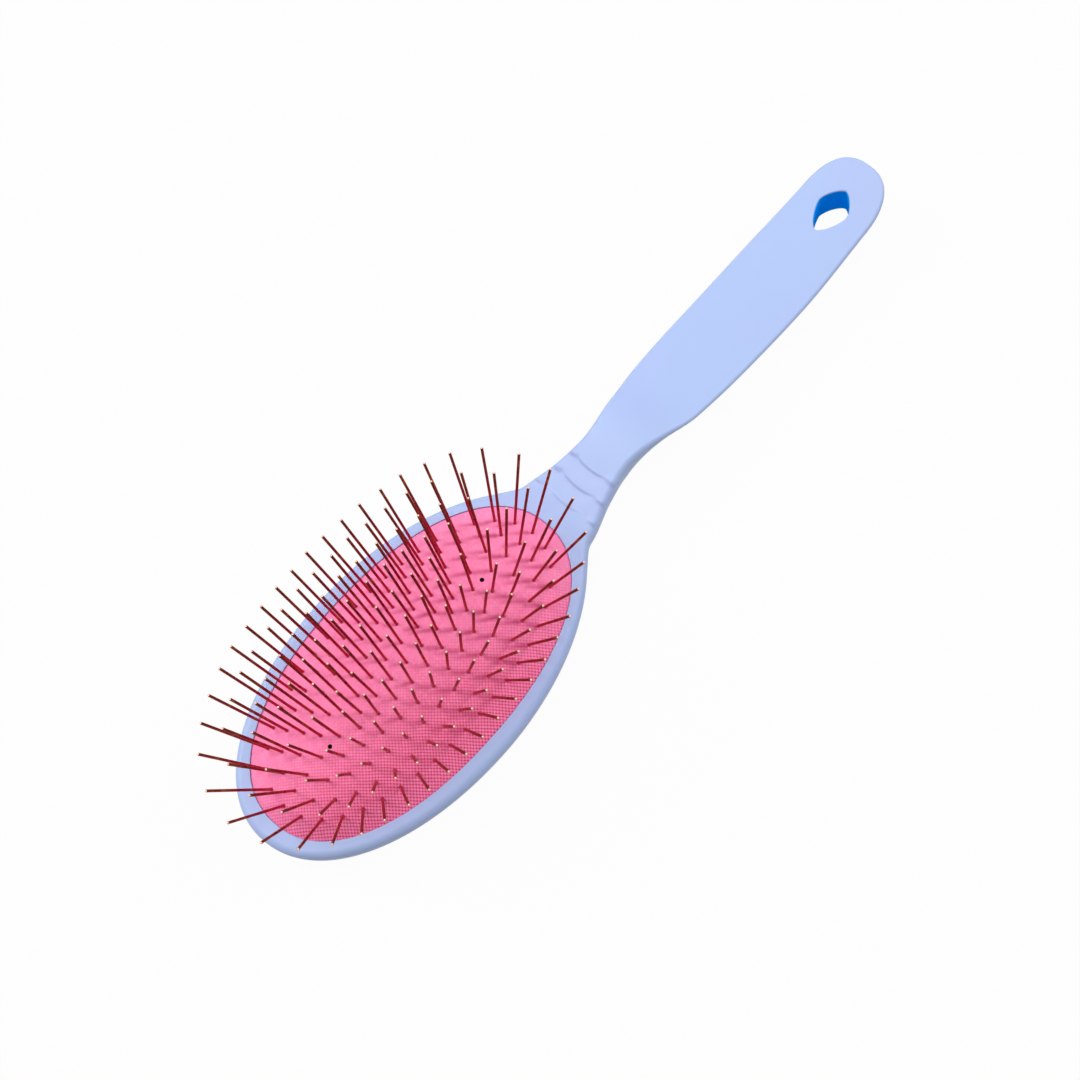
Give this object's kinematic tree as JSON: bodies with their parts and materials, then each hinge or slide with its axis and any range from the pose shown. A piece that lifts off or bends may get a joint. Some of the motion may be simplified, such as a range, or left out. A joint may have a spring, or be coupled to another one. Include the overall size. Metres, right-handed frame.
{
  "type": "pin brush",
  "caption": "Oval cushioned pin brush: metal pins fanned out on a sprung woven pad, an arched neck with thumb ribs, and a flat grip with a hanging hole.",
  "frame": {"origin": "on the flat back of the head, under the middle of the cushion", "axes": "+X along the brush from the toe of the head to the hanging hole, +Z the way the pins point, +Y across"},
  "size_m": [0.2514, 0.0686, 0.0493],
  "materials": {
    "body_plastic": "pale periwinkle, satin",
    "cushion_rubber": "matte pink",
    "pin_metal": "polished, copper tone"
  },
  "bodies": {
    "base": {"body": "body_plastic", "cushion": "cushion_rubber"},
    "centre_row": {"centre_row_pins": "pin_metal"},
    "ring_1": {"ring_1_pins_1": "pin_metal", "ring_1_pins_2": "pin_metal", "ring_1_pins_3": "pin_metal", "ring_1_pins_4": "pin_metal", "ring_1_pins_5": "pin_metal", "ring_1_pins_6": "pin_metal"},
    "ring_2": {"ring_2_pins_1": "pin_metal", "ring_2_pins_2": "pin_metal", "ring_2_pins_3": "pin_metal", "ring_2_pins_4": "pin_metal", "ring_2_pins_5": "pin_metal", "ring_2_pins_6": "pin_metal"},
    "ring_3": {"ring_3_pins_1": "pin_metal", "ring_3_pins_2": "pin_metal", "ring_3_pins_3": "pin_metal", "ring_3_pins_4": "pin_metal", "ring_3_pins_5": "pin_metal", "ring_3_pins_6": "pin_metal"},
    "ring_4": {"ring_4_pins_1": "pin_metal", "ring_4_pins_2": "pin_metal", "ring_4_pins_3": "pin_metal", "ring_4_pins_4": "pin_metal", "ring_4_pins_5": "pin_metal", "ring_4_pins_6": "pin_metal"},
    "ring_5": {"ring_5_pins_1": "pin_metal", "ring_5_pins_2": "pin_metal", "ring_5_pins_3": "pin_metal", "ring_5_pins_4": "pin_metal", "ring_5_pins_5": "pin_metal", "ring_5_pins_6": "pin_metal"}
  },
  "joints": [
    {"name": "centre_row_press", "type": "slide", "parent": "base", "child": "centre_row", "axis": [0, 0, -1], "range_m": [0, 0.004], "stiffness_N_per_m": 420, "deforming": ["cushion"]},
    {"name": "ring_1_press", "type": "slide", "parent": "base", "child": "ring_1", "axis": [0, 0, -1], "range_m": [0, 0.0015], "stiffness_N_per_m": 2520},
    {"name": "ring_2_press", "type": "slide", "parent": "base", "child": "ring_2", "axis": [0, 0, -1], "range_m": [0, 0.00236], "stiffness_N_per_m": 2160},
    {"name": "ring_3_press", "type": "slide", "parent": "base", "child": "ring_3", "axis": [0, 0, -1], "range_m": [0, 0.00306], "stiffness_N_per_m": 1800},
    {"name": "ring_4_press", "type": "slide", "parent": "base", "child": "ring_4", "axis": [0, 0, -1], "range_m": [0, 0.00357], "stiffness_N_per_m": 1440},
    {"name": "ring_5_press", "type": "slide", "parent": "base", "child": "ring_5", "axis": [0, 0, -1], "range_m": [0, 0.00389], "stiffness_N_per_m": 1080}
  ],
  "couplings": [
    {"joint": "ring_1_press", "follows": "centre_row_press", "ratio": 0.3745},
    {"joint": "ring_2_press", "follows": "centre_row_press", "ratio": 0.5909},
    {"joint": "ring_3_press", "follows": "centre_row_press", "ratio": 0.7658},
    {"joint": "ring_4_press", "follows": "centre_row_press", "ratio": 0.8923},
    {"joint": "ring_5_press", "follows": "centre_row_press", "ratio": 0.9729}
  ]
}
